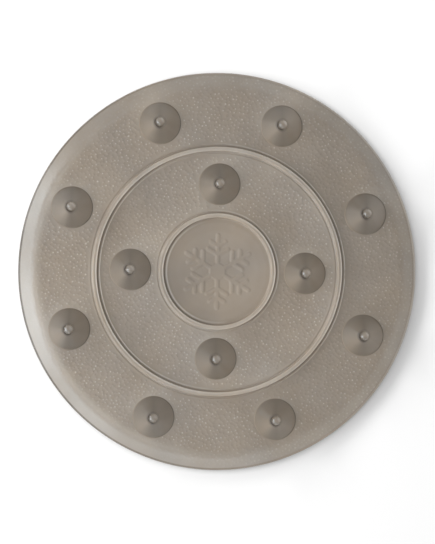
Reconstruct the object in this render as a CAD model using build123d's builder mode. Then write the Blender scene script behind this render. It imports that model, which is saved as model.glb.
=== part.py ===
"""Round self-adhesive traction pad for a snowboard deck.

One elastomer moulding carries the grip cones, two ring ribs and a polished medallion.
Under it lie the three plies of a double-coated tape, and a release liner in two halves.
Millimetres. +Z points out of the gripping face, and the origin is the centre of the
liner's underside, where the new pad rests on a table.
"""

import math
import os

from build123d import *

# ---- driving dimensions ----
PAD_DIAMETER = 127.0  # a 5 inch pad
PAD_THICKNESS = 3.0  # the moulding, at its flats

# ---- rim, a bevel from the flat down to a low upright land ----
RIM_LAND = 0.5
RIM_BEVEL_WIDTH = 4.6  # in plan
RIM_NOSE_RADIUS = 0.8  # bevel into land
RIM_SHOULDER_RADIUS = 6.0  # bevel into flat

# ---- grip cones ----
OUTER_CONE_COUNT = 8
OUTER_CONE_CIRCLE = 50.5  # radius of the circle through the cones' axes
INNER_CONE_COUNT = 4
INNER_CONE_CIRCLE = 27.75
CONE_FOOT_RADIUS = 6.6
CONE_STEP = 0.3  # low steep step round the foot, left by the edge of the cone's mould insert
CONE_STEP_DRAFT = 0.2  # how far in the step leans
CONE_FLANK_RISE = 4.75
CONE_TOP_RADIUS = 1.75
NUB_RADIUS = 1.5  # half-round nub that stands on the cone's top

# ---- ring ribs ----
INNER_RIB_RADIUS = 17.85  # to the middle of the rib
OUTER_RIB_RADIUS = 39.0
RIB_WIDTH = 1.9  # at the foot
RIB_CREST_WIDTH = 1.1
RIB_RISE = 0.9
RIB_EDGE_RADIUS = 0.12  # at crest and foot

# ---- medallion: a shallow dish, with a plain snow crystal in low relief ----
MEDALLION_DISH = 1.2  # depth in the middle, from the flats
CRYSTAL_ARM_COUNT = 6
CRYSTAL_REACH = 11.5  # centre to arm tip
CRYSTAL_STROKE = 1.3
CRYSTAL_RELIEF = 0.18
CRYSTAL_HUB_RADIUS = 2.6
BARBS = ((5.4, 3.6), (8.2, 2.6))  # each pair's place along the arm, and its length
BARB_ANGLE = 60.0

# ---- tape and liner ----
TAPE_INSET = 1.0  # the die-cut tape stops this far inside the moulding's edge
LINER_THICKNESS = 0.15
GLUE_THICKNESS = 0.10  # each of the two glue plies
FILM_THICKNESS = 0.05
LINER_SLIT = 0.2  # between the liner halves

# ---- derived: radii, and heights from the table upwards ----
PAD_RADIUS = PAD_DIAMETER / 2
TAPE_RADIUS = PAD_RADIUS - TAPE_INSET
BOARD_GLUE_Z = LINER_THICKNESS
FILM_Z = BOARD_GLUE_Z + GLUE_THICKNESS
PAD_GLUE_Z = FILM_Z + FILM_THICKNESS
PAD_Z = PAD_GLUE_Z + GLUE_THICKNESS
FLAT_Z = PAD_Z + PAD_THICKNESS
MEDALLION_Z = FLAT_Z - MEDALLION_DISH
MEDALLION_RADIUS = INNER_RIB_RADIUS - RIB_WIDTH / 2
ROOT_Z = PAD_Z + PAD_THICKNESS / 2  # cones and crystal are rooted this deep in the disc
RIB_FLANK_ANGLE = math.degrees(math.atan2(RIB_RISE, (RIB_WIDTH - RIB_CREST_WIDTH) / 2))
CONE_TOP_Z = FLAT_Z + CONE_STEP + CONE_FLANK_RISE


def corners_at(sketch, points):
    """The corners of a sketch on the XZ plane that stand at (radius, height) points."""
    reach = 1e-3
    return [
        corner
        for corner in sketch.vertices()
        if any(abs(corner.X - r) < reach and abs(corner.Z - z) < reach for r, z in points)
    ]


def rib_corners(middle):
    """The corners of a rib's section: two at its foot and two at its crest."""
    return [
        (middle + side * width / 2, height)
        for width, height in ((RIB_WIDTH, FLAT_Z), (RIB_CREST_WIDTH, FLAT_Z + RIB_RISE))
        for side in (-1, 1)
    ]


# ---- one grip cone, on the Z axis ----
with BuildPart() as grip_cone:
    with BuildSketch(Plane.XZ):
        with BuildLine():
            Polyline(
                (0, CONE_TOP_Z + NUB_RADIUS),
                (0, ROOT_Z),
                (CONE_FOOT_RADIUS, ROOT_Z),
                (CONE_FOOT_RADIUS, FLAT_Z),
                (CONE_FOOT_RADIUS - CONE_STEP_DRAFT, FLAT_Z + CONE_STEP),
                (CONE_TOP_RADIUS, CONE_TOP_Z),
                (NUB_RADIUS, CONE_TOP_Z),
            )
            CenterArc((0, CONE_TOP_Z), NUB_RADIUS, 0, 90)
        make_face()
    revolve(axis=Axis.Z)

# ---- the crystal: a prism, trimmed to stand evenly above the dish ----
with BuildPart() as crystal:
    with BuildSketch(Plane.XY.offset(ROOT_Z)):
        Circle(CRYSTAL_HUB_RADIUS)
        with PolarLocations(0, CRYSTAL_ARM_COUNT, start_angle=90):
            Rectangle(CRYSTAL_REACH, CRYSTAL_STROKE, align=(Align.MIN, Align.CENTER))
            for place, length in BARBS:
                for turn in (BARB_ANGLE, -BARB_ANGLE):
                    with Locations(Location((place, 0), turn)):
                        Rectangle(length, CRYSTAL_STROKE, align=(Align.MIN, Align.CENTER))
    extrude(amount=PAD_THICKNESS)
    with BuildSketch(Plane.XZ):
        with BuildLine():
            crystal_top = TangentArc(
                (0, MEDALLION_Z + CRYSTAL_RELIEF),
                (MEDALLION_RADIUS, FLAT_Z + CRYSTAL_RELIEF),
                tangent=(1, 0),
            )
            Polyline(crystal_top @ 1, (MEDALLION_RADIUS, ROOT_Z), (0, ROOT_Z), crystal_top @ 0)
        make_face()
    revolve(axis=Axis.Z, mode=Mode.INTERSECT)

# ---- the moulding: disc, dish and ribs turned in one, then the crystal and the cones ----
bevel_foot = (PAD_RADIUS, PAD_Z + RIM_LAND)
bevel_head = (PAD_RADIUS - RIM_BEVEL_WIDTH, FLAT_Z)

with BuildPart() as pad_moulding:
    with BuildSketch(Plane.XZ) as section:
        with BuildLine():
            dish = TangentArc((0, MEDALLION_Z), (MEDALLION_RADIUS, FLAT_Z), tangent=(1, 0))
            Polyline(
                dish @ 1,
                bevel_head,
                bevel_foot,
                (PAD_RADIUS, PAD_Z),
                (0, PAD_Z),
                dish @ 0,
            )
        make_face()
        with Locations(
            (INNER_RIB_RADIUS, FLAT_Z + RIB_RISE / 2),
            (OUTER_RIB_RADIUS, FLAT_Z + RIB_RISE / 2),
        ):
            Trapezoid(RIB_WIDTH, RIB_RISE, RIB_FLANK_ANGLE)
        fillet(corners_at(section, [bevel_foot]), RIM_NOSE_RADIUS)
        fillet(corners_at(section, [bevel_head]), RIM_SHOULDER_RADIUS)
        rib_edges = rib_corners(INNER_RIB_RADIUS) + rib_corners(OUTER_RIB_RADIUS)
        fillet(corners_at(section, rib_edges), RIB_EDGE_RADIUS)
    revolve(axis=Axis.Z)
    add(crystal.part)

    with PolarLocations(OUTER_CONE_CIRCLE, OUTER_CONE_COUNT, 180 / OUTER_CONE_COUNT):
        add(grip_cone.part)
    with PolarLocations(INNER_CONE_CIRCLE, INNER_CONE_COUNT):
        add(grip_cone.part)

# ---- the tape's three plies, from the moulding downwards ----
with BuildPart() as pad_side_adhesive:
    with BuildSketch(Plane.XY.offset(PAD_GLUE_Z)):
        Circle(TAPE_RADIUS)
    extrude(amount=GLUE_THICKNESS)

with BuildPart() as tape_carrier_film:
    with BuildSketch(Plane.XY.offset(FILM_Z)):
        Circle(TAPE_RADIUS)
    extrude(amount=FILM_THICKNESS)

with BuildPart() as board_side_adhesive:
    with BuildSketch(Plane.XY.offset(BOARD_GLUE_Z)):
        Circle(TAPE_RADIUS)
    extrude(amount=GLUE_THICKNESS)

# ---- the liner's halves, either side of a straight slit along Y ----
with BuildPart() as release_liner_right:
    with BuildSketch(Plane.XY):
        Circle(TAPE_RADIUS)
        with Locations((LINER_SLIT / 2, 0)):
            Rectangle(
                TAPE_RADIUS,
                2 * TAPE_RADIUS,
                align=(Align.MIN, Align.CENTER),
                mode=Mode.INTERSECT,
            )
    extrude(amount=LINER_THICKNESS)

with BuildPart() as release_liner_left:
    mirror(release_liner_right.part, about=Plane.YZ)

# ---- label and write each piece ----
pieces = {
    "pad_moulding": pad_moulding,
    "pad_side_adhesive": pad_side_adhesive,
    "tape_carrier_film": tape_carrier_film,
    "board_side_adhesive": board_side_adhesive,
    "release_liner_right": release_liner_right,
    "release_liner_left": release_liner_left,
}
os.makedirs("parts", exist_ok=True)
for name, piece in pieces.items():
    piece.part.label = name
    export_step(piece.part, f"parts/{name}.step")
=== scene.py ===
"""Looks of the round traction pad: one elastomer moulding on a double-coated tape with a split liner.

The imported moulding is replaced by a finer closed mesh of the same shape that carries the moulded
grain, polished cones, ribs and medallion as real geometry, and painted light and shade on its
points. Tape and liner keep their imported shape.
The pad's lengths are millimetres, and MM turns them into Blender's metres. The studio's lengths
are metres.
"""

import math

import bpy
import numpy as np
from mathutils import Matrix, Vector
from mathutils.geometry import delaunay_2d_cdt


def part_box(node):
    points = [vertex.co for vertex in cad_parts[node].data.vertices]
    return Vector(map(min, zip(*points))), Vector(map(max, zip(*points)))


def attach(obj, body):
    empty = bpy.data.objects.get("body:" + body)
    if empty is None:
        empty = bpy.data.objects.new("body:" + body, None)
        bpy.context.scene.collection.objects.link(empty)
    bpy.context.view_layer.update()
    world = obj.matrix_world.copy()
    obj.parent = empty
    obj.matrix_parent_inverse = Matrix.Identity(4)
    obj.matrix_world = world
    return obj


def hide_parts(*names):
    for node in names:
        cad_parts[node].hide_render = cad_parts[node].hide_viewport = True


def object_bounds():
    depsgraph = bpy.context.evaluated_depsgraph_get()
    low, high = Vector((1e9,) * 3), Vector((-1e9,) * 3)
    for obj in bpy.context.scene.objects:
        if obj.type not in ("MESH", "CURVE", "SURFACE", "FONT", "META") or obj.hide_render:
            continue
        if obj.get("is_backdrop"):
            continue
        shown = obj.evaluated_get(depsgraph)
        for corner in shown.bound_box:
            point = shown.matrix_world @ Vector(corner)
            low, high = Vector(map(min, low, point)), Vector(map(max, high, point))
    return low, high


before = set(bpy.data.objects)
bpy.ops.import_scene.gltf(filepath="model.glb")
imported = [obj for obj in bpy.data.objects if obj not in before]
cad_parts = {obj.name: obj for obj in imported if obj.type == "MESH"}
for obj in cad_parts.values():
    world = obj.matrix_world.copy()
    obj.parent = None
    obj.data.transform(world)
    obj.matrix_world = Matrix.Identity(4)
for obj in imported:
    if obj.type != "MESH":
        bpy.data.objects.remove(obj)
cad_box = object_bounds()

MM = 0.001

# ---- the moulding's own dimensions, around its packed box ----
pad_low, pad_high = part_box("pad_moulding")
PAD_RADIUS = (pad_high[0] - pad_low[0]) / 2 / MM
PAD_Z = pad_low[2] / MM
PAD_THICKNESS = 3.0
FLAT_Z = PAD_Z + PAD_THICKNESS
RIM_LAND = 0.5  # height at which the bevel would meet the upright rim, if its nose were sharp
RIM_BEVEL_WIDTH = 4.6
RIM_NOSE_RADIUS = 0.8
RIM_SHOULDER_RADIUS = 6.0
RIM_EDGE_RISE = 0.024  # height over the back at which the nose's arc ends
BEVEL_MESH = (1.0, 5.4, 0.45)  # in from the rim: start, end and step of the bevel's points
RIM_SIDES = 420
BACK_SHARES = (1.0, 0.75, 0.4)  # rings of the flat back, as shares of the pad's radius
SHARP_ANGLE = math.radians(38)  # edges that bend more than this are shaded as sharp

NUB_RADIUS = 1.5
NUB_TRIM = 0.01  # taken off that radius in plan
NUB_RINGS = (0, 18, 32, 44, 56, 68, 79)  # degrees above its foot
NUB_COARSE = 50  # degrees above which half the sides will do
OUTER_CONES = (8, 50.5, math.pi / 8)  # how many, radius of their circle, azimuth of the first
INNER_CONES = (4, 27.75, 0.0)
CONE_FOOT_RADIUS = 6.6
CONE_STEP = 0.3
CONE_STEP_DRAFT = 0.2
CONE_LIP = 0.1  # width over which the flat's grained finish meets the cone's polish
CONE_TOP_RADIUS = 1.75
CONE_TOP_RISE = pad_high[2] / MM - FLAT_Z - NUB_RADIUS
CONE_SEGMENTS = 56
FLANK_SHARES = (0.12, 0.4, 0.7, 0.88, 1.0)  # rings of the flank, as shares of its height

INNER_RIB_RADIUS = 17.85
INNER_RIB_SIDES = 144
OUTER_RIB_RADIUS = 39.0
OUTER_RIB_SIDES = 288
RIB_WIDTH = 1.9
RIB_CREST_WIDTH = 1.1
RIB_RISE = 0.9
RIB_EDGE = 0.09  # how far the rib's corners are eased
RIB_CREST_DISH = 0.05
RIB_MARGIN = 0.6  # polished strip from a rib's foot to a low lip where the grained flat starts
LIP_RISE = 0.1
LIP_RUN = 0.5  # from the lip's crest to where grains may start

MEDALLION_RADIUS = INNER_RIB_RADIUS - RIB_WIDTH / 2
MEDALLION_DISH = 1.2
MEDALLION_MESH = 0.8  # gap of the mesh's points on it
MEDALLION_MESH_INSET = 1.3  # in from its edge, inside the rings there
CRYSTAL_MESH = 0.3  # gap of the points on the crystal
CRYSTAL_MARGIN = 1.0  # how far those go on round it
CRYSTAL_ARM_COUNT = 6
CRYSTAL_REACH = 11.5
CRYSTAL_HALF_STROKE = 0.6
CRYSTAL_RELIEF = 0.18
CRYSTAL_EDGE = 0.4
CRYSTAL_HUB_RADIUS = 2.6
BARBS = ((5.4, 3.6), (8.2, 2.6))  # place along the arm, length
BARB_ANGLE = math.radians(60)

GRAIN_SEED = 20
GRAIN_GAP = 0.98  # least distance between the middles of two grains
GRAIN_SIZES = (0.75, 1.15)  # smallest and largest, as shares of the sizes below
GRAIN_RISE = 0.11
GRAIN_TOP_RADIUS = 0.18
GRAIN_TOP_SHARE = 0.66  # height of the top's corners, as a share of the rise
GRAIN_FOOT_RADIUS = 0.34
GRAIN_SIDES = 5
GRAIN_RIM_GAP = 0.75  # bare band along the rim
GRAIN_FADE = (PAD_RADIUS - 8.0, PAD_RADIUS - 5.5)  # where the grain gets finer towards the bevel
GRAIN_ON_BEVEL = (0.65, 0.15)  # share of it left there, on the lee side and on the lit side
GRAIN_LEE_TO_LIT = (-0.3, 0.6)  # cosines of the angle from the key that bound those two sides

# ---- tone on the mesh's points, mostly painted light and shade: 0 plain, 1 shade, 2 deep shade, -1 light ----
KEY_AZIMUTH = math.radians(195)
LEE_AZIMUTH = KEY_AZIMUTH - math.pi
NOSE_RINGS = (
    (0.8, 0.0), (0.65, 0.8), (0.4, 1.0), (0.22, 1.0), (0.09, 1.0), (0.015, 1.0),
)  # in from the rim, share of the nose's painted shade and light
NOSE_LIT_TONE = 1.9  # painted shade, darker by this, where the rim's nose faces the key
NOSE_LEE_TONE = 0.6  # and painted light, brighter by this, in its lee
STEP_TONE = 0.7  # painted shade of a cone's step: the mean, and the swing towards the lee
FLANK_TONES = (
    (10, 0.0), (45, 0.3), (75, 1.0), (135, 1.15), (207, 0.6), (240, 1.2), (258, 1.2), (315, 0.25),
)  # degrees from the lee side, painted shade of the flank
LEDGE_TONES = (0.4, 0.6)  # painted shade added round a nub: everywhere, and at most away from the nub's painted light
NUB_TONES = (1.1, 0.4)  # painted shade at its foot and at its top, before its painted light
# strength of the painted light on a nub's far side from the key
NUB_GLOW = 1.6
NUB_GLOW_AZIMUTH = math.radians(30)  # the side of a nub painted lighter, as light gathers there in the clear elastomer
MEDALLION_RINGS = ((0.3, -0.3), (0.5, -1.1), (0.75, -0.5), (1.0, 0.0))  # inset, painted light near the key
MEDALLION_TONE = -0.05
CRYSTAL_TONE = -0.08
GRAIN_GLOW = -0.55  # painted glint of the brightest grains
GRAIN_GLOW_POWER = 1.5  # the higher, the fewer of them are bright
GRAIN_CORNER_GLOW = 0.99  # share of a grain's painted glint that its top's corners have
BAND_TONE = -0.11  # painted light on the flat between the ribs
RIB_SHADES = ((INNER_RIB_RADIUS, 0.5, 0.18), (OUTER_RIB_RADIUS, 0.6, 0.06))  # radius, painted shade in its lee, painted light on its lit side
RIB_SHADE_AZIMUTH = math.radians(-5)
RIB_SHADE_REACH = 7.0
BEVEL_INSETS = (0.8, 1.0, 3.4, 5.4)  # in from the rim: where its painted light and shade start, are full and end
# painted shade on the bevel where it faces the key, painted light on it in the lee
BEVEL_LIT_TONE = 0.3
BEVEL_LEE_TONE = -0.24
BEVEL_LEE_START = 0.4  # cosine of the angle from the key
# painted light on the flats just inside the bevel on the key's side
BEVEL_GLOW = -0.33
BEVEL_GLOW_AZIMUTH = math.radians(203)
BEVEL_GLOW_INSETS = (3.8, 5.3, 7.8)  # in from the rim: where it starts, peaks and ends
BEVEL_GLOW_SPREAD = (1.6, -0.6)  # factor and offset of the cosine of the angle from its azimuth
FOOT_GLOW = 0.155  # painted light on the flats round a cone, at its foot
FOOT_GLOW_SWING = 0.11
FOOT_GLOW_AZIMUTH = math.radians(95)
FOOT_GLOW_REACH = 3.0
SHEEN_INSETS = (0.6, 0.9, 5.0, 6.5)  # in from the rim: where extra gloss starts, is full and ends
SHEEN_OFFSET = 0.8  # of the cosine of the angle from the key, so that this gloss ends in the lee

# ---- looks of the materials ----
WHITE = (1.0, 1.0, 1.0, 1.0)
NOISE_MIDDLE = (0.35, 0.65)  # where most of a noise's values lie
NOISE_RANGE = (0.3, 0.7)  # where nearly all lie
COOL_TINGE = (0.988, 1.0, 1.02, 1.0)
WARM_TINGE = (1.014, 1.0, 0.978, 1.0)
HIGHLIGHT_TINT = (0.92, 1.0, 1.05, 1.0)
SCATTER_RADIUS = (1.0, 0.88, 0.74)
SCATTER_SCALE = 0.45 * MM

# ---- the studio, in metres ----
KEY_DISTANCE = 0.36
KEY_PANELS = (
    (-35, 0.17, 0.14, 0.225, 3.8),
    (0, 0.20, 0.22, 0.225, 4.6),
    (-5, 0.395, 0.23, 0.225, 3.4),
    (35, 0.20, 0.16, 0.19, 3.1),
    (70, 0.20, 0.225, 0.135, 1.8),
)  # degrees from the key's azimuth, rise of the middle, width, height, radiance
FLOOR_KEY_AZIMUTH = 163  # degrees
FLOOR_KEY_DISTANCE = 1.2
FLOOR_KEY_SIZE = (0.85, 0.2)
FLOOR_PANELS = ((-38, 0.38, 19.5), (0, 0.43, 37.0), (38, 0.38, 19.5))  # degrees, rise, radiance
SKY_LIGHT = 0.65
SKY_SEEN = 1.0
FLOOR_REACH = 3.0
FLOOR_GAP = 0.05 * MM  # between the floor and the liner
FLOOR_SHADES = (0.775, 0.785)
BACKDROP_FADE = (0.13, 0.5)  # distances from the pad's middle over which the floor turns white
BACKDROP_GLOW = 0.6
CAMERA_DISTANCE = 540.0 * MM
VIEW_HEIGHT = 173.8 * MM  # what the picture's height takes in at the rim
SENSOR = 36.0  # millimetres, as Blender has it
CAMERA_ROLL = math.radians(1.3)
CAMERA_TILT = math.radians(-1.3)
CAMERA_AIM = Vector((0.06, -0.16, PAD_Z + RIM_LAND)) * MM


# ---------------------------------------------------------------- pad mesh
def rim_height(r):
    """Height of the plain disc at radius r: flat, shoulder arc, bevel, nose arc."""
    fall = PAD_THICKNESS - RIM_LAND
    slope = math.atan2(fall, RIM_BEVEL_WIDTH)
    head = PAD_RADIUS - RIM_BEVEL_WIDTH
    shoulder_run = RIM_SHOULDER_RADIUS * math.tan(slope / 2)
    shoulder_start = head - shoulder_run
    shoulder_end = head + shoulder_run * math.cos(slope)
    nose_centre = PAD_RADIUS - RIM_NOSE_RADIUS
    nose_start = nose_centre + RIM_NOSE_RADIUS * math.sin(slope)
    nose_run = RIM_NOSE_RADIUS * math.tan((math.pi / 2 - slope) / 2)
    nose_z = PAD_Z + RIM_LAND - nose_run
    r = np.asarray(r, float)
    bevel = FLAT_Z - (r - head) * math.tan(slope)
    arc = np.sqrt(np.clip(RIM_SHOULDER_RADIUS**2 - (r - shoulder_start) ** 2, 0, None))
    shoulder = FLAT_Z - RIM_SHOULDER_RADIUS + arc
    nose = nose_z + np.sqrt(np.clip(RIM_NOSE_RADIUS**2 - (r - nose_centre) ** 2, 0, None))
    z = np.where(r < shoulder_start, FLAT_Z, shoulder)
    z = np.where(r > shoulder_end, bevel, z)
    return np.where(r > nose_start, nose, z)


def turns(sides):
    """The azimuths of a ring's points."""
    return np.arange(sides) * 2 * math.pi / sides


class Relief:
    """Points of a height field, with the rings of edges that its triangles must keep.

    Each point has a height, a tone that is mostly painted light and shade, and a polish from 0 on the
    grain to 1 on smooth faces and 2 on a nub.
    """

    def __init__(self):
        self.xy, self.z, self.polish, self.tone = [], [], [], []
        self.edges = []
        self.count = 0

    def points(self, xy, z, polish, tone):
        xy = np.asarray(xy, float).reshape(-1, 2)
        self.xy.append(xy)
        for store, value in ((self.z, z), (self.polish, polish), (self.tone, tone)):
            store.append(np.broadcast_to(np.asarray(value, float), len(xy)).copy())
        first = self.count
        self.count += len(xy)
        return first

    def ring(self, centre, radius, sides, z, polish, tone):
        turn = turns(sides)
        xy = np.c_[centre[0] + radius * np.cos(turn), centre[1] + radius * np.sin(turn)]
        first = self.points(xy, z, polish, tone)
        self.edges += [(first + i, first + (i + 1) % sides) for i in range(sides)]
        return first


def cone_centres():
    centres = []
    for count, circle, start in (OUTER_CONES, INNER_CONES):
        for turn in start + turns(count):
            centres.append((circle * math.cos(turn), circle * math.sin(turn)))
    return centres


def add_cone(relief, centre):
    """Rings of one cone: drafted step, straight flank, ledge, and the half-round nub, with painted
    light and shade.
    """
    turn = turns(CONE_SEGMENTS)
    # painted shade on step and flank by their side to the key, a painted dark ring round the nub, and
    # painted light on the nub's far side
    lee = turn - LEE_AZIMUTH
    step = STEP_TONE + STEP_TONE * np.cos(lee)
    flank = np.interp(np.degrees(lee), *zip(*FLANK_TONES), period=360)
    ledge = LEDGE_TONES[0] + LEDGE_TONES[1] * np.clip(-np.cos(turn - NUB_GLOW_AZIMUTH), 0, None)
    middle = CONE_FOOT_RADIUS - CONE_STEP_DRAFT / 2
    top = CONE_FOOT_RADIUS - CONE_STEP_DRAFT
    relief.ring(centre, CONE_FOOT_RADIUS + CONE_LIP, CONE_SEGMENTS, FLAT_Z, 0.0, 0.0)
    relief.ring(centre, CONE_FOOT_RADIUS, CONE_SEGMENTS, FLAT_Z, 1.0, step)
    relief.ring(centre, middle, CONE_SEGMENTS, FLAT_Z + CONE_STEP / 2, 1.0, step)
    relief.ring(centre, top, CONE_SEGMENTS, FLAT_Z + CONE_STEP, 1.0, flank)
    for share in FLANK_SHARES:
        radius = top + (CONE_TOP_RADIUS - top) * share
        rise = CONE_STEP + (CONE_TOP_RISE - CONE_STEP) * share
        tone = flank + ledge if share == 1.0 else flank
        relief.ring(centre, radius, CONE_SEGMENTS, FLAT_Z + rise, 1.0, tone)
    foot = FLAT_Z + CONE_TOP_RISE
    for degrees in NUB_RINGS:
        angle = math.radians(degrees)
        radius = (NUB_RADIUS - NUB_TRIM) * math.cos(angle)
        sides = CONE_SEGMENTS if degrees < NUB_COARSE else CONE_SEGMENTS // 2
        plain = NUB_TONES[0] + (NUB_TONES[1] - NUB_TONES[0]) * math.sin(angle)
        glow = NUB_GLOW * math.cos(angle) * np.cos(turns(sides) - NUB_GLOW_AZIMUTH)
        relief.ring(centre, radius, sides, foot + NUB_RADIUS * math.sin(angle), 2.0, plain - glow)
    relief.points([centre], foot + NUB_RADIUS, 2.0, NUB_TONES[1])


def add_rib(relief, radius, sides):
    """A rib with sloping sides and a faintly dished crest, its corners eased by short facets."""
    foot, crest = RIB_WIDTH / 2, RIB_CREST_WIDTH / 2
    slope = (foot - crest) / RIB_RISE
    ease = RIB_EDGE
    # offset from the middle, rise, and painted light and shade: plain, added on a lee flank and taken
    # off a lit one, added where the rib crosses the key's way
    profile = (
        (foot + ease, 0.0, 0.0, 0.3, 0.0),
        (foot, ease / 3, 0.15, 0.5, 0.1),
        (foot - ease * slope * 2, ease * 2, 0.15, 0.5, 0.1),
        (crest + ease * slope * 2, RIB_RISE - ease * 2, 0.0, 0.0, 0.0),
        (crest, RIB_RISE - ease / 3, -0.45, -0.3, -0.25),
        (crest - ease, RIB_RISE, -0.35, -0.3, -0.2),
    )
    lee = np.cos(turns(sides) - LEE_AZIMUTH)
    # painted light on the crest's middle, less where the rib crosses the key's way
    middle_tone = -0.3 + 0.35 * lee**4
    relief.ring((0, 0), radius, sides, FLAT_Z + RIB_RISE - RIB_CREST_DISH, 1.0, middle_tone)
    for side in (-1, 1):
        for offset, rise, plain, leeward, crossing in profile:
            tone = plain + leeward * side * lee + crossing * lee**2
            relief.ring((0, 0), radius + side * offset, sides, FLAT_Z + rise, 1.0, tone)


def add_margin(relief, radius, side, sides):
    """Polished strip beside a rib, and the low lip where the grained flat starts."""
    lip = radius + side * (RIB_WIDTH / 2 + RIB_MARGIN)
    lee = np.clip(side * np.cos(turns(sides) - LEE_AZIMUTH), 0, None)
    # offset from the lip, rise, polish, painted light in the rib's lee
    profile = (
        (-0.15, 0.0, 1.0, -0.3),
        (0.0, LIP_RISE, 0.6, -0.9),
        (0.2, LIP_RISE / 2, 0.3, -0.4),
        (LIP_RUN, 0.0, 0.0, 0.0),
    )
    for offset, rise, polish, tone in profile:
        relief.ring((0, 0), lip + side * offset, sides, FLAT_Z + rise, polish, tone * lee)


def stroke_distance(p, start, end):
    """Distance of points p from the segment start to end."""
    start, end = np.array(start), np.array(end)
    along = np.clip((p - start) @ (end - start) / np.sum((end - start) ** 2), 0, 1)
    return np.linalg.norm(p - start - along[:, None] * (end - start), axis=1)


def crystal_rise(p):
    """Relief of the snow crystal at points p: arms and barbs with soft edges."""
    distance = np.linalg.norm(p, axis=1) - CRYSTAL_HUB_RADIUS
    for turn in math.pi / 2 + turns(CRYSTAL_ARM_COUNT):
        way = np.array([math.cos(turn), math.sin(turn)])
        stroke = stroke_distance(p, (0, 0), way * CRYSTAL_REACH)
        distance = np.minimum(distance, stroke - CRYSTAL_HALF_STROKE)
        for place, length in BARBS:
            for side in (BARB_ANGLE, -BARB_ANGLE):
                barb = length * np.array([math.cos(turn + side), math.sin(turn + side)])
                stroke = stroke_distance(p, way * place, way * place + barb)
                distance = np.minimum(distance, stroke - CRYSTAL_HALF_STROKE)
    share = np.clip(0.5 - distance / CRYSTAL_EDGE, 0, 1)
    return CRYSTAL_RELIEF * share * share * (3 - 2 * share)


def hex_points(reach, gap):
    """A triangular lattice of points that covers a square of half side reach."""
    rows = int(reach / (gap * math.sqrt(0.75))) + 1
    columns = int(reach / gap) + 2
    i, j = np.meshgrid(np.arange(-columns, columns + 1), np.arange(-rows, rows + 1))
    return np.c_[((i + 0.5 * (j % 2)) * gap).ravel(), (j * gap * math.sqrt(0.75)).ravel()]


def add_medallion(relief):
    """A dished polished disc with the crystal, fine where the relief is."""
    edge = MEDALLION_RADIUS - RIB_EDGE

    def dish(p):
        r2 = np.sum(p**2, axis=1)
        return FLAT_Z - MEDALLION_DISH * (1 - r2 / edge**2)

    # painted light on the medallion's edge on the key's side
    lit = np.clip(-np.cos(turns(INNER_RIB_SIDES) - LEE_AZIMUTH), 0, None)
    for inset, tone in MEDALLION_RINGS:
        r = edge - inset
        z = dish(np.array([[r, 0.0]]))[0]
        relief.ring((0, 0), r, INNER_RIB_SIDES, z, 1.0, tone * lit)
    reach = CRYSTAL_REACH + CRYSTAL_MARGIN
    fine = hex_points(reach, CRYSTAL_MESH)
    fine = fine[np.linalg.norm(fine, axis=1) < reach]
    relief.points(fine, dish(fine) + crystal_rise(fine), 1.0, CRYSTAL_TONE)
    coarse = hex_points(edge, MEDALLION_MESH)
    r = np.linalg.norm(coarse, axis=1)
    coarse = coarse[(r > reach + MEDALLION_MESH / 2) & (r < edge - MEDALLION_MESH_INSET)]
    relief.points(coarse, dish(coarse), 1.0, MEDALLION_TONE)


def grain_mask(p, clearance):
    """True where a grain of that clearance lies wholly on a grained surface."""
    r = np.linalg.norm(p, axis=1)
    keep = r < PAD_RADIUS - GRAIN_RIM_GAP - clearance
    strip = RIB_WIDTH / 2 + RIB_MARGIN + LIP_RUN + clearance
    keep &= r > INNER_RIB_RADIUS + strip
    keep &= np.abs(r - OUTER_RIB_RADIUS) > strip
    for centre in cone_centres():
        away = np.linalg.norm(p - np.array(centre), axis=1)
        keep &= away > CONE_FOOT_RADIUS + CONE_LIP + clearance
    return keep


def scattered_points(reach, gap, rng):
    """Random points in a square of half side reach, no two closer than gap."""
    cell = gap / math.sqrt(2)
    around = [(i, j) for i in range(-2, 3) for j in range(-2, 3)]
    taken = {}
    tries = int(9 * (2 * reach / gap) ** 2)  # nine for each square of side gap
    for x, y in rng.uniform(-reach, reach, (tries, 2)):
        column, row = int(x // cell), int(y // cell)
        near = (taken.get((column + i, row + j)) for i, j in around)
        if all(other is None or math.dist(other, (x, y)) >= gap for other in near):
            taken[column, row] = (x, y)
    return np.array(list(taken.values()))


def add_grain(relief, rng):
    """The moulded-in pebble grain: a steep little dome on each scattered point."""
    centres = scattered_points(PAD_RADIUS, GRAIN_GAP, rng)
    size = rng.uniform(*GRAIN_SIZES, len(centres))
    spin = rng.uniform(0, 2 * math.pi, len(centres))
    keep = grain_mask(centres, GRAIN_FOOT_RADIUS * GRAIN_SIZES[1])
    centres, size, spin = centres[keep], size[keep], spin[keep]
    r = np.linalg.norm(centres, axis=1)
    facing = np.cos(np.arctan2(centres[:, 1], centres[:, 0]) - KEY_AZIMUTH)
    on_bevel = np.interp(facing, GRAIN_LEE_TO_LIT, GRAIN_ON_BEVEL)
    fade = 1.0 - (1.0 - on_bevel) * np.interp(r, GRAIN_FADE, (0.0, 1.0))
    rise = GRAIN_RISE * size * fade
    # painted glints, strong on a few grains
    glow = GRAIN_GLOW * fade * rng.uniform(0, 1, len(centres)) ** GRAIN_GLOW_POWER
    relief.points(centres, rim_height(r) + rise, 0.0, glow)
    top = (GRAIN_TOP_RADIUS, GRAIN_TOP_SHARE, 0.0, glow * GRAIN_CORNER_GLOW)
    foot = (GRAIN_FOOT_RADIUS, 0.0, 0.5, 0.0)
    for side in range(GRAIN_SIDES):
        for radius, share, shift, tone in (top, foot):
            turn = spin + (side + shift) * 2 * math.pi / GRAIN_SIDES
            reach = (radius * size)[:, None]
            p = centres + reach * np.c_[np.cos(turn), np.sin(turn)]
            z = rim_height(np.linalg.norm(p, axis=1)) + rise * share
            relief.points(p, z, 0.0, tone)


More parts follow.
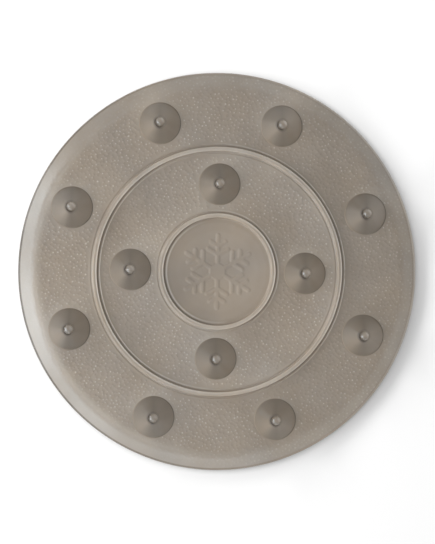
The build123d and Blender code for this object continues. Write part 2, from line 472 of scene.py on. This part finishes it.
def add_rim(relief):
    """Points of the bevel and rings of its nose; returns the first point of the outermost ring."""
    turn = turns(RIM_SIDES)
    facing = np.cos(turn - KEY_AZIMUTH)
    # painted shade on the nose where it faces the key, painted light on it in the lee
    tone = np.where(facing > 0, NOSE_LIT_TONE, NOSE_LEE_TONE) * facing
    for inset, share in NOSE_RINGS:
        r = PAD_RADIUS - inset
        relief.ring((0, 0), r, RIM_SIDES, rim_height(r), 0.5 + share, share * tone)
    for inset in np.arange(*BEVEL_MESH):
        way = turn + inset
        r = PAD_RADIUS - inset
        relief.points(np.c_[r * np.cos(way), r * np.sin(way)], rim_height(r), 0.5, 0.0)
    return relief.ring((0, 0), PAD_RADIUS, RIM_SIDES, PAD_Z + RIM_EDGE_RISE, 0.5, 0.0)


def painted_light_and_shade(p):
    """Painted light and shade of flats and bevel: painted light near the cones, between the ribs, on
    the ribs' lit side, inside the lit bevel and on the bevel's lee side; painted shade in the ribs'
    lee and on the bevel where it faces the key.
    """
    r, azimuth = np.hypot(*p.T), np.arctan2(p[:, 1], p[:, 0])
    tone = np.where((r > INNER_RIB_RADIUS) & (r < OUTER_RIB_RADIUS), BAND_TONE, 0.0)
    for radius, shade, glow in RIB_SHADES:
        gap = np.abs(r - radius) - RIB_WIDTH / 2
        lee = np.sign(r - radius) * np.cos(azimuth - RIB_SHADE_AZIMUTH)
        depth = np.where(lee > 0, shade, glow) * lee * np.exp(-gap / RIB_SHADE_REACH)
        tone += np.where((gap > RIB_MARGIN) & (r > INNER_RIB_RADIUS), depth, 0.0)
    lit = np.cos(azimuth - KEY_AZIMUTH)
    side = BEVEL_LIT_TONE * np.clip(lit, 0.0, 1.0)
    side += BEVEL_LEE_TONE * np.clip(BEVEL_LEE_START - lit, 0.0, 1.0)
    tone += side * np.interp(PAD_RADIUS - r, BEVEL_INSETS, (0.0, 1.0, 1.0, 0.0))
    factor, offset = BEVEL_GLOW_SPREAD
    spread = np.clip(factor * np.cos(azimuth - BEVEL_GLOW_AZIMUTH) + offset, 0.0, 1.0)
    tone += BEVEL_GLOW * spread * np.interp(PAD_RADIUS - r, BEVEL_GLOW_INSETS, (0.0, 1.0, 0.0))
    for centre in cone_centres():
        x, y = (p - np.array(centre)).T
        gap = np.hypot(x, y) - CONE_FOOT_RADIUS
        glow = FOOT_GLOW + FOOT_GLOW_SWING * np.cos(np.arctan2(y, x) - FOOT_GLOW_AZIMUTH)
        tone = np.where(gap > CONE_LIP / 2, tone - glow * np.exp(-gap / FOOT_GLOW_REACH), 0.0)
    return tone


def bevel_sheen(p):
    """Extra gloss of the bevel, which ends at the flats and in the lee."""
    lit = np.cos(np.arctan2(p[:, 1], p[:, 0]) - KEY_AZIMUTH)
    sheen = np.interp(PAD_RADIUS - np.hypot(*p.T), SHEEN_INSETS, (0.0, 1.0, 1.0, 0.0))
    return sheen * np.clip(SHEEN_OFFSET + lit, 0.0, 1.0)


def close_back(points, faces, edge):
    """Adds a short wall below the outermost ring, and the flat back."""
    rings = [edge]
    for share in BACK_SHARES:
        rings.append(range(len(points), len(points) + len(edge)))
        points += [(points[i][0] * share, points[i][1] * share, PAD_Z * MM) for i in edge]
    for upper, lower in zip(rings, rings[1:]):
        for i in range(len(edge)):
            j = (i + 1) % len(edge)
            faces.append((upper[i], lower[i], lower[j], upper[j]))
    faces.append(tuple(reversed(rings[-1])))


def build_pad():
    """The moulding as one closed mesh: the height field, a short wall and the flat back."""
    relief = Relief()
    first_edge = add_rim(relief)
    add_rib(relief, OUTER_RIB_RADIUS, OUTER_RIB_SIDES)
    add_margin(relief, OUTER_RIB_RADIUS, -1, OUTER_RIB_SIDES)
    add_margin(relief, OUTER_RIB_RADIUS, 1, OUTER_RIB_SIDES)
    add_rib(relief, INNER_RIB_RADIUS, INNER_RIB_SIDES)
    add_margin(relief, INNER_RIB_RADIUS, 1, INNER_RIB_SIDES)
    for centre in cone_centres():
        add_cone(relief, centre)
    add_medallion(relief)
    add_grain(relief, np.random.default_rng(GRAIN_SEED))

    xy = np.concatenate(relief.xy)
    # no faces to keep, output 0 for all triangles, millimetres within which points merge, ids wanted
    out = delaunay_2d_cdt([Vector(p) for p in xy], relief.edges, [], 0, 1e-6, True)
    flat, _, faces, origin = out[:4]
    source = np.array([ids[0] for ids in origin])
    heights = np.concatenate(relief.z)[source]
    points = [(p.x * MM, p.y * MM, h * MM) for p, h in zip(flat, heights)]
    faces = [tuple(f) for f in faces]
    at = {int(s): i for i, s in enumerate(source)}
    close_back(points, faces, [at[first_edge + i] for i in range(RIM_SIDES)])

    mesh = bpy.data.meshes.new("pad_moulding_grained")
    mesh.from_pydata(points, [], faces)
    mesh.validate()
    polish = np.concatenate(relief.polish)
    stores = {
        "polish": polish,
        "tone": np.concatenate(relief.tone) + painted_light_and_shade(xy),
        "sheen": np.maximum(bevel_sheen(xy), np.clip(polish - 1.0, 0.0, 1.0)),
    }
    for name, store in stores.items():
        values = np.concatenate([store[source], np.zeros(len(points) - len(source))])
        attribute = mesh.attributes.new(name, "FLOAT", "POINT")
        attribute.data.foreach_set("value", values.astype(np.float32))
    mesh.shade_smooth()
    mesh.set_sharp_from_angle(angle=SHARP_ANGLE)
    pad = bpy.data.objects.new("pad_moulding_grained", mesh)
    bpy.context.scene.collection.objects.link(pad)
    return pad


# ---------------------------------------------------------------- materials
class Shader:
    """A material's node tree, with short calls to add and join nodes."""

    def __init__(self, name):
        self.material = bpy.data.materials.new(name)
        self.material.use_nodes = True
        self.tree = self.material.node_tree
        self.surface = self.tree.nodes["Principled BSDF"]

    def feed(self, value, socket):
        """Gives a socket another node's output or a plain value."""
        if isinstance(value, bpy.types.NodeSocket):
            self.tree.links.new(value, socket)
        else:
            socket.default_value = value

    def set(self, name, value):
        """Gives one of the surface's own inputs its value."""
        self.feed(value, self.surface.inputs[name])

    def node(self, kind, **inputs):
        node = self.tree.nodes.new(kind)
        for name, value in inputs.items():
            self.feed(value, node.inputs[name])
        return node

    def attribute(self, name):
        node = self.node("ShaderNodeAttribute")
        node.attribute_name = name
        return node.outputs["Fac"]

    def noise(self, scale_mm, detail=3.0):
        place = self.node("ShaderNodeTexCoord").outputs["Object"]
        scale = 1 / (scale_mm * MM)
        return self.node("ShaderNodeTexNoise", Vector=place, Scale=scale, Detail=detail).outputs["Fac"]

    def ramp(self, value, source, target):
        """The value moved from the source range to the target range, and kept inside it."""
        node = self.node("ShaderNodeMapRange", Value=value)
        for name, number in zip(("From Min", "From Max", "To Min", "To Max"), source + target):
            node.inputs[name].default_value = number
        return node.outputs["Result"]

    def mix(self, share, first, second, blend="MIX"):
        node = self.node("ShaderNodeMix")
        node.data_type = "RGBA"
        node.blend_type = blend
        for place, value in ((0, share), (6, first), (7, second)):
            self.feed(value, node.inputs[place])
        return node.outputs[2]

    def maths(self, operation, first, second):
        node = self.node("ShaderNodeMath")
        node.operation = operation
        self.feed(first, node.inputs[0])
        self.feed(second, node.inputs[1])
        return node.outputs[0]

    def bump(self, height, distance_mm, strength):
        reach = distance_mm * MM
        node = self.node("ShaderNodeBump", Height=height, Distance=reach, Strength=strength)
        self.set("Normal", node.outputs["Normal"])


def srgb(red, green, blue):
    """A linear colour from screen values of 0 to 255."""
    def linear(value):
        value /= 255
        return value / 12.92 if value <= 0.04045 else ((value + 0.055) / 1.055) ** 2.4

    return (linear(red), linear(green), linear(blue), 1.0)


def elastomer_colour(shader, polish):
    """One colour on the grain and one where polished, moved by the tone towards painted shade, deep
    painted shade and painted light, with faint clouds.
    """
    frosted, polished = srgb(151, 141, 129), srgb(149, 138, 125)
    # painted shade, deep painted shade and painted light, which the tone reaches at 1, 2 and -1
    painted_shade, painted_deep_shade, painted_light = srgb(123, 114, 103), srgb(86, 78, 69), srgb(207, 200, 191)
    tone = shader.attribute("tone")
    colour = shader.mix(shader.ramp(polish, (0.0, 1.0), (0.0, 1.0)), frosted, polished)
    for source, reached in (((0.0, 1.0), painted_shade), ((1.0, 2.0), painted_deep_shade), ((0.0, -1.0), painted_light)):
        colour = shader.mix(shader.ramp(tone, source, (0.0, 1.0)), colour, reached)
    cloud = shader.ramp(shader.noise(14.0, 2.0), NOISE_MIDDLE, (0.94, 1.06))
    colour = shader.mix(1.0, colour, cloud, "MULTIPLY")
    warmth = shader.ramp(shader.noise(19.0, 1.0), NOISE_MIDDLE, (0.0, 1.0))
    return shader.mix(1.0, colour, shader.mix(warmth, COOL_TINGE, WARM_TINGE), "MULTIPLY")


def elastomer():
    """The moulding's plastic: satin, glossier on nubs, nose and lit bevel, dull at a grazing view."""
    shader = Shader("smoke_elastomer")
    polish = shader.attribute("polish")
    shader.set("Base Color", elastomer_colour(shader, polish))
    rough = shader.ramp(polish, (1.0, 2.0), (0.32, 0.12))
    smear = shader.ramp(shader.noise(3.0), NOISE_RANGE, (-0.02, 0.02))
    shader.set("Roughness", shader.maths("ADD", rough, smear))
    shader.set("IOR", 1.5)
    shader.set("Specular Tint", HIGHLIGHT_TINT)
    gloss = shader.ramp(shader.attribute("sheen"), (0.0, 1.0), (0.45, 1.0))
    grazing = shader.node("ShaderNodeLayerWeight").outputs["Facing"]
    unmasked = shader.ramp(grazing, (0.5, 0.85), (1.0, 0.06))
    shader.set("Specular IOR Level", shader.maths("MULTIPLY", gloss, unmasked))
    shader.set("Subsurface Weight", 1.0)
    shader.set("Subsurface Radius", SCATTER_RADIUS)
    shader.set("Subsurface Scale", SCATTER_SCALE)
    frost = shader.ramp(polish, (0.0, 1.0), (0.5, 0.05))
    shader.bump(shader.noise(0.35, 2.0), 0.015, frost)
    return shader.material


def liner_paper():
    """Tan paper with a short fibre."""
    shader = Shader("liner_paper")
    fibre = shader.noise(0.5, 5.0)
    shader.set("Base Color", shader.mix(fibre, srgb(186, 152, 112), srgb(214, 182, 142)))
    shader.set("Roughness", shader.ramp(fibre, NOISE_RANGE, (0.38, 0.52)))
    shader.bump(fibre, 0.02, 0.4)
    return shader.material


def tape_ply(name, colour, roughness):
    """A smooth ply, clouded with a darker shade and slightly uneven."""
    shader = Shader(name)
    cloud = shader.noise(4.0)
    darker = tuple(c * 0.9 for c in colour[:3]) + (1.0,)
    shader.set("Base Color", shader.mix(cloud, colour, darker))
    shader.set("Roughness", shader.ramp(cloud, NOISE_RANGE, (roughness, roughness + 0.1)))
    shader.bump(cloud, 0.01, 0.5)
    return shader.material


def dress(node, material):
    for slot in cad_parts[node].material_slots:
        slot.material = material


# ---------------------------------------------------------------- studio
def floor():
    """Pale paper that turns plain white away from the pad, for the camera alone."""
    mesh = bpy.data.meshes.new("floor")
    signs = ((-1, -1), (1, -1), (1, 1), (-1, 1))
    corners = [(x * FLOOR_REACH, y * FLOOR_REACH, -FLOOR_GAP) for x, y in signs]
    mesh.from_pydata(corners, [], [(0, 1, 2, 3)])
    plane = bpy.data.objects.new("floor", mesh)
    bpy.context.scene.collection.objects.link(plane)
    shader = Shader("floor_paper")
    shader.set("Base Color", shader.ramp(shader.noise(300.0, 1.0), NOISE_RANGE, FLOOR_SHADES))
    shader.set("Roughness", 0.9)
    shader.set("Specular IOR Level", 0.0)
    away = shader.node("ShaderNodeVectorMath")
    away.operation = "LENGTH"
    shader.feed(shader.node("ShaderNodeTexCoord").outputs["Object"], away.inputs[0])
    glow = shader.ramp(away.outputs["Value"], BACKDROP_FADE, (0.0, BACKDROP_GLOW))
    seen = shader.node("ShaderNodeLightPath").outputs["Is Camera Ray"]
    shader.set("Emission Strength", shader.maths("MULTIPLY", glow, seen))
    shader.set("Emission Color", WHITE)
    mesh.materials.append(shader.material)
    plane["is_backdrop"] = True
    return plane


def softbox(name, azimuth, distance, rise, width, height, radiance):
    """An upright panel with its middle at that rise, that faces the pad from that azimuth."""
    data = bpy.data.lights.new(name, "AREA")
    data.shape = "RECTANGLE"
    data.size = width
    data.size_y = height
    data.energy = radiance * math.pi * width * height
    light = bpy.data.objects.new(name, data)
    way = Vector((math.cos(azimuth), math.sin(azimuth), 0))
    light.location = way * distance + Vector((0, 0, rise))
    light.rotation_euler = (-way).to_track_quat("-Z", "Y").to_euler()
    light.visible_camera = False
    bpy.context.scene.collection.objects.link(light)
    return light


def key_light(plane):
    """A bank of low panels at the left that leaves out the floor."""
    unlit = bpy.data.collections.new("key_leaves_out")
    unlit.objects.link(plane)
    unlit.collection_objects[0].light_linking.link_state = "EXCLUDE"
    for turn, rise, width, height, radiance in KEY_PANELS:
        azimuth = KEY_AZIMUTH + math.radians(turn)
        panel = softbox("key_softbox", azimuth, KEY_DISTANCE, rise, width, height, radiance)
        panel.light_linking.receiver_collection = unlit


def floor_light(plane):
    """An arc of low panels at the left that lights the floor alone and draws the pad's shadow."""
    lit = bpy.data.collections.new("lit_by_floor_softbox")
    lit.objects.link(plane)
    for turn, rise, radiance in FLOOR_PANELS:
        azimuth = math.radians(FLOOR_KEY_AZIMUTH + turn)
        panel = softbox("floor_softbox", azimuth, FLOOR_KEY_DISTANCE, rise, *FLOOR_KEY_SIZE, radiance)
        panel.light_linking.receiver_collection = lit


def sky():
    """An even white surround, dimmer as a light than the camera sees it."""
    world = bpy.data.worlds.new("studio")
    world.use_nodes = True
    tree = world.node_tree
    background = tree.nodes["Background"]
    background.inputs["Color"].default_value = WHITE
    strength = tree.nodes.new("ShaderNodeMapRange")
    strength.inputs["To Min"].default_value = SKY_LIGHT
    strength.inputs["To Max"].default_value = SKY_SEEN
    seen = tree.nodes.new("ShaderNodeLightPath").outputs["Is Camera Ray"]
    tree.links.new(seen, strength.inputs["Value"])
    tree.links.new(strength.outputs["Result"], background.inputs["Strength"])
    bpy.context.scene.world = world


def camera():
    """Looks down on the pad from just beside its axis, a touch turned, as in the reference view."""
    data = bpy.data.cameras.new("camera")
    data.sensor_width = SENSOR
    data.sensor_fit = "AUTO"
    data.lens = SENSOR * CAMERA_DISTANCE / VIEW_HEIGHT
    data.clip_start = 0.01
    turn = Matrix.Rotation(CAMERA_ROLL, 3, "Z") @ Matrix.Rotation(CAMERA_TILT, 3, "Y")
    eye = bpy.data.objects.new("camera", data)
    eye.location = CAMERA_AIM + turn @ Vector((0, 0, CAMERA_DISTANCE))
    eye.rotation_euler = turn.to_euler()
    bpy.context.scene.collection.objects.link(eye)
    bpy.context.scene.camera = eye


# ---------------------------------------------------------------- the scene
pad = build_pad()
pad.data.materials.append(elastomer())
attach(pad, "pad")
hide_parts("pad_moulding")

adhesive = tape_ply("acrylic_adhesive", srgb(214, 208, 190), 0.12)
dress("pad_side_adhesive", adhesive)
dress("board_side_adhesive", adhesive)
dress("tape_carrier_film", tape_ply("carrier_film", srgb(222, 222, 216), 0.08))
paper = liner_paper()
dress("release_liner_right", paper)
dress("release_liner_left", paper)

plane = floor()
sky()
key_light(plane)
floor_light(plane)
camera()
bpy.context.scene.view_settings.view_transform = "Standard"

boxes = {"cad": cad_box, "visual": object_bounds()}
boxes = {name: [list(map(float, corner)) for corner in box] for name, box in boxes.items()}
